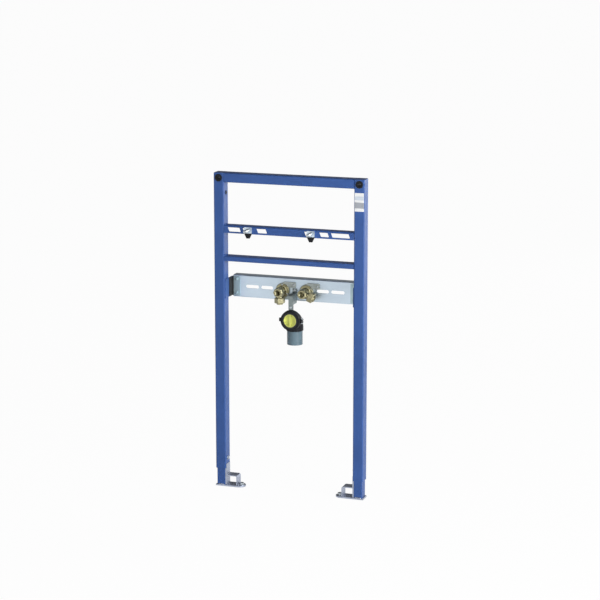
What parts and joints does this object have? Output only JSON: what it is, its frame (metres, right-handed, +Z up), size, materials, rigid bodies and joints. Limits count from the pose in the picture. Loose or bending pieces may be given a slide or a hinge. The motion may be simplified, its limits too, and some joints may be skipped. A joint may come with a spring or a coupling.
{
  "type": "basin installation frame",
  "caption": "Steel frame that carries a wall-hung basin, with telescopic feet, a windowed basin rail, a slotted plate with brass unions and a plugged drain elbow.",
  "frame": {"origin": "on the sole of the left foot, under the axis of the left leg", "axes": "+X along the frame to the right leg, +Y back to the wall behind it, +Z up from the floor"},
  "size_m": [0.502, 0.129, 1.03],
  "materials": {
    "frame_paint": "satin blue powder coat",
    "black_plastic": "matt black",
    "black_rubber": "matt black rubber",
    "zinc_steel": "bright zinc plated",
    "union_brass": "plain cast and turned brass",
    "grey_pad": "matt grey",
    "yellow_plastic": "yellow-green, slightly glossy",
    "grey_plastic": "grey, slightly glossy"
  },
  "bodies": {
    "left_foot": {"left_inner_leg": "frame_paint", "left_foot_plate": "zinc_steel", "left_foot_stirrup": "zinc_steel"},
    "frame": {"basin_rail": "frame_paint", "connection_plate": "zinc_steel", "cross_rail": "frame_paint", "drain_bracket": "zinc_steel", "drain_clip": "black_plastic", "drain_elbow": "black_plastic", "drain_nipple": "black_rubber", "drain_pipe": "grey_plastic", "drain_plug": "yellow_plastic", "left_basin_stud": "zinc_steel", "left_carrier_guide": "black_plastic", "left_clamp_screw": "zinc_steel", "left_corner_bushing": "black_plastic", "left_end_clamp": "zinc_steel", "left_plate_bracket": "frame_paint", "left_plate_isolator": "black_rubber", "left_side_plug": "black_plastic", "left_stud_carrier": "zinc_steel", "left_stud_nut": "zinc_steel", "left_union_nut": "union_brass", "left_union_pad": "grey_pad", "left_upright": "frame_paint", "left_wall_union": "union_brass", "right_basin_stud": "zinc_steel", "right_carrier_guide": "black_plastic", "right_clamp_screw": "zinc_steel", "right_corner_bushing": "black_plastic", "right_end_clamp": "zinc_steel", "right_plate_bracket": "frame_paint", "right_plate_isolator": "black_rubber", "right_side_plug": "black_plastic", "right_stud_carrier": "zinc_steel", "right_stud_nut": "zinc_steel", "right_union_nut": "union_brass", "right_union_pad": "grey_pad", "right_upright": "frame_paint", "right_wall_union": "union_brass", "top_rail": "frame_paint"},
    "right_foot": {"right_inner_leg": "frame_paint", "right_foot_plate": "zinc_steel", "right_foot_stirrup": "zinc_steel"}
  },
  "joints": [
    {"name": "left_leg_slide", "type": "slide", "parent": "left_foot", "child": "frame", "axis": [0, 0, 1], "range_m": [0, 0.2]},
    {"name": "right_leg_slide", "type": "slide", "parent": "frame", "child": "right_foot", "axis": [0, 0, -1], "range_m": [0, 0.2]}
  ]
}
